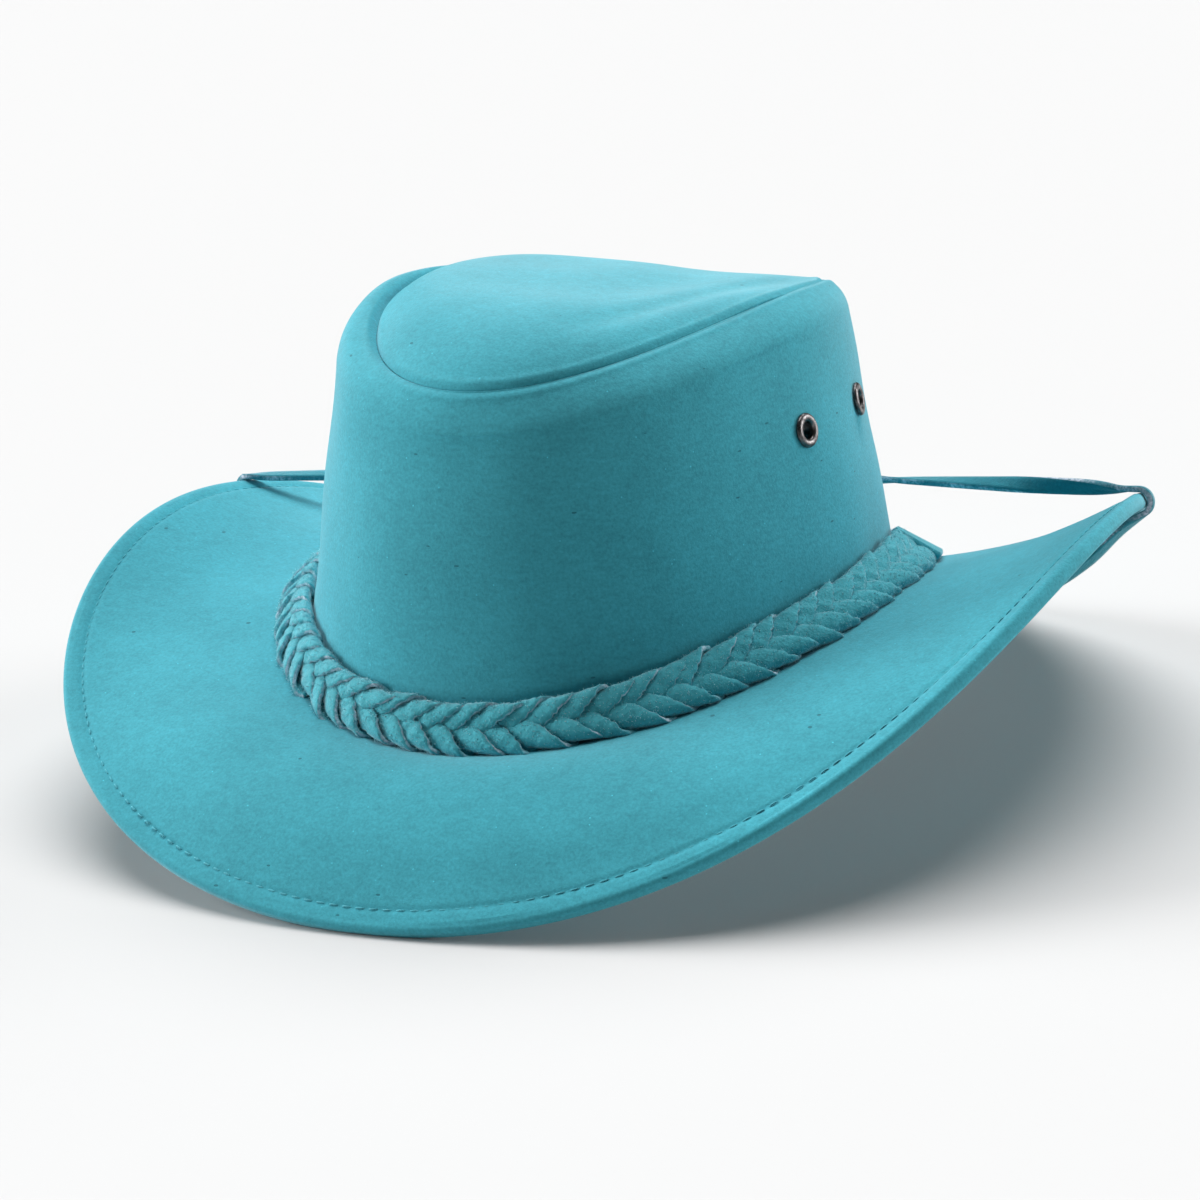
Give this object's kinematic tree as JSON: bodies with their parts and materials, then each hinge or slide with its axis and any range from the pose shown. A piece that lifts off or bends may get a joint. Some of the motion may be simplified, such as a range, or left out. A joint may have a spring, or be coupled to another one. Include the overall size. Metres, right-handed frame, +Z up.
{
  "type": "outback hat",
  "caption": "Wide-brimmed suede outback hat with an upturned rolled brim, a dented crown, a plaited band, air eyelets and a chin strap.",
  "frame": {"origin": "on the surface that the hat rests on, under the middle of the brim", "axes": "+Z up through the crown, -Y towards the front of the hat, +X towards the side that the picture shows on the right"},
  "size_m": [0.32, 0.3293, 0.1477],
  "materials": {
    "brim_suede": "fine turquoise suede nap, dull",
    "crown_suede": "fine turquoise suede nap, dull",
    "plait_suede": "plaited suede laces with pale cut edges",
    "eyelet_metal": "dark antique plating, worn bright on the rim",
    "strap_leather": "flat turquoise lace with pale cut edges"
  },
  "bodies": {
    "root": {"brim": "brim_suede", "crown_wall": "crown_suede", "crown_tip": "crown_suede", "hat_band": "plait_suede", "band_tab": "plait_suede", "eyelet_right_front": "eyelet_metal", "eyelet_right_back": "eyelet_metal", "eyelet_left_front": "eyelet_metal", "eyelet_left_back": "eyelet_metal", "chin_strap": "strap_leather"}
  },
  "joints": []
}
